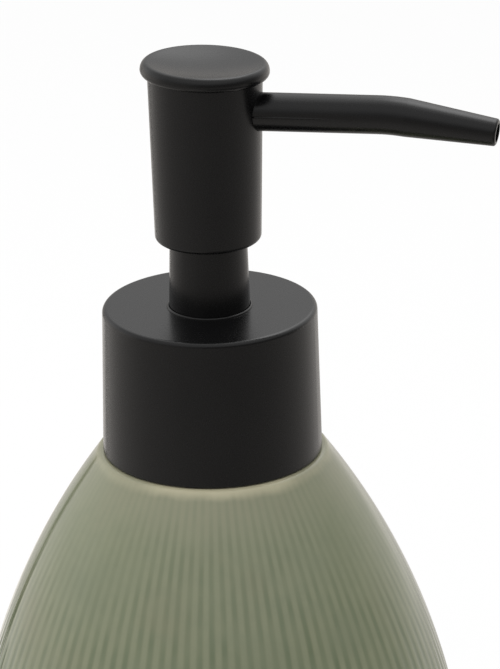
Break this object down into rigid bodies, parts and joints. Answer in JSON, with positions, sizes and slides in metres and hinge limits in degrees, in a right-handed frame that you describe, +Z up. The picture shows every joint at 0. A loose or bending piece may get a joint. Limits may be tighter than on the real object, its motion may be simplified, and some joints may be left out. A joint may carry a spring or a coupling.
{
  "type": "soap pump dispenser",
  "caption": "Reeded round ceramic soap bottle with a black lift pump: screw collar, chimney, dished press head and a long drooping spout; the pump presses, swivels, unscrews and lifts out.",
  "frame": {"origin": "on the pump's axis, at the plane that the foot ring stands on", "axes": "+Z up along the pump's axis, +X along the spout as it leaves the head, +Y to the left of the spout seen from above"},
  "size_m": [0.0996, 0.0918, 0.1727],
  "materials": {
    "glaze": "gloss",
    "black_plastic": "satin",
    "inner_plastic": "natural",
    "neck_plastic": "natural",
    "seal": "soft",
    "spring_steel": "drawn wire",
    "ball_glass": "polished"
  },
  "bodies": {
    "bottle": {"bottle": "glaze", "neck_insert": "neck_plastic"},
    "gasket": {"neck_gasket": "seal"},
    "pump": {"pump_housing": "inner_plastic", "dip_tube": "inner_plastic", "ball_cage": "inner_plastic", "neck_sleeve": "black_plastic", "stem_guide": "inner_plastic", "stem_wiper": "seal", "return_spring": "spring_steel"},
    "collar": {"collar_shell": "black_plastic", "closure_cap": "neck_plastic"},
    "stem": {"pump_stem": "inner_plastic", "piston_rod": "inner_plastic"},
    "piston": {"piston": "inner_plastic"},
    "ball": {"inlet_ball": "ball_glass"},
    "head": {"actuator_head": "black_plastic", "head_core": "neck_plastic", "head_cap": "black_plastic", "spout": "black_plastic"}
  },
  "joints": [
    {"name": "pump_lift", "type": "slide", "parent": "bottle", "child": "gasket", "axis": [0, 0, 1], "range_m": [0, 0.15]},
    {"name": "pump_rise", "type": "slide", "parent": "gasket", "child": "pump", "axis": [0, 0, 1], "range_m": [0, 0.0048]},
    {"name": "collar_turn", "type": "hinge", "parent": "pump", "child": "collar", "pos_m": [0, 0, 0.112], "axis": [0, 0, 1], "range_deg": [0, 540]},
    {"name": "head_press", "type": "slide", "parent": "pump", "child": "stem", "axis": [0, 0, 1], "range_m": [-0.012, 0], "stiffness_N_per_m": 900, "springref_m": 0.009, "deforming": ["return_spring"]},
    {"name": "head_swivel", "type": "hinge", "parent": "stem", "child": "head", "pos_m": [0, 0, 0.15], "axis": [0, 0, 1], "continuous": true},
    {"name": "piston_float", "type": "slide", "parent": "stem", "child": "piston", "axis": [0, 0, 1], "range_m": [0, 0.001]},
    {"name": "ball_lift", "type": "slide", "parent": "pump", "child": "ball", "axis": [0, 0, 1], "range_m": [0, 0.002]}
  ],
  "couplings": [
    {"joint": "pump_rise", "follows": "collar_turn", "m_per_rad": 0.00050532}
  ]
}
